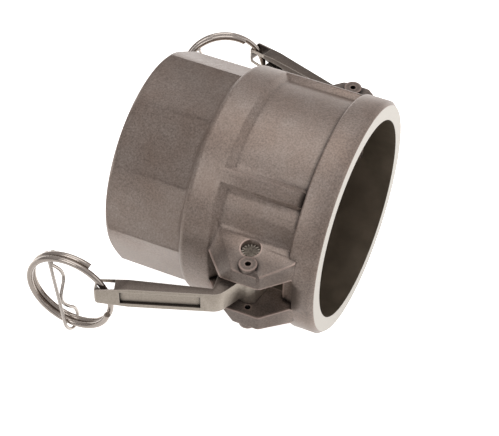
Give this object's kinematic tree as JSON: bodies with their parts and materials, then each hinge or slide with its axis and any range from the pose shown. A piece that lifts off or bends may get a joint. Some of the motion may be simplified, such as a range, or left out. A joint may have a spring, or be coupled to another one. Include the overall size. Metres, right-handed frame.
{
  "type": "cam and groove coupling",
  "caption": "Female cam and groove coupler with a ten-sided threaded end, two cam levers in drafted ears, split pull rings and hairpin safety clips.",
  "frame": {"origin": "centre of the threaded end's face, on the flow axis", "axes": "+X along the flow axis from the threaded end to the socket mouth, +Z along the lever pivot pins, -Y towards the front lever"},
  "size_m": [0.0852, 0.1233, 0.076],
  "materials": {
    "casting": "matte as cast, machined bright at the mouth",
    "gasket": "matte",
    "pin": "peened ends",
    "lever": "satin, cast stainless",
    "ring": "polished",
    "clip": "polished"
  },
  "bodies": {
    "casting": {"body": "casting", "gasket": "gasket", "front_pivot_pin": "pin", "rear_pivot_pin": "pin"},
    "front_lever_body": {"front_lever": "lever"},
    "rear_lever_body": {"rear_lever": "lever"},
    "front_ring_body": {"front_pull_ring": "ring"},
    "rear_ring_body": {"rear_pull_ring": "ring"},
    "front_clip_body": {"front_safety_clip": "clip"},
    "rear_clip_body": {"rear_safety_clip": "clip"}
  },
  "joints": [
    {"name": "front_lever_hinge", "type": "hinge", "parent": "casting", "child": "front_lever_body", "pos_m": [0.0503, -0.036, 0], "axis": [0, 0, 1], "range_deg": [-8, 100]},
    {"name": "rear_lever_hinge", "type": "hinge", "parent": "casting", "child": "rear_lever_body", "pos_m": [0.0503, 0.036, 0], "axis": [0, 0, -1], "range_deg": [-5, 101.5]},
    {"name": "front_ring_hinge", "type": "hinge", "parent": "front_lever_body", "child": "front_ring_body", "pos_m": [0.01296, -0.05869, 0], "axis": [-0.4067, 0, 0.9135], "range_deg": [-20, 75]},
    {"name": "rear_ring_hinge", "type": "hinge", "parent": "rear_lever_body", "child": "rear_ring_body", "pos_m": [0.01238, 0.0577, 0], "axis": [0.4066, 0.0106, -0.9135], "range_deg": [-2, 104]},
    {"name": "front_clip_hinge", "type": "hinge", "parent": "front_ring_body", "child": "front_clip_body", "pos_m": [-0.00041, -0.05869, -0.0191], "axis": [-0.9455, 0, -0.3256], "range_deg": [0, 150]},
    {"name": "rear_clip_hinge", "type": "hinge", "parent": "rear_ring_body", "child": "rear_clip_body", "pos_m": [0.00155, 0.04773, -0.01808], "axis": [0.8185, 0.5046, 0.2748], "range_deg": [0, 10]}
  ]
}
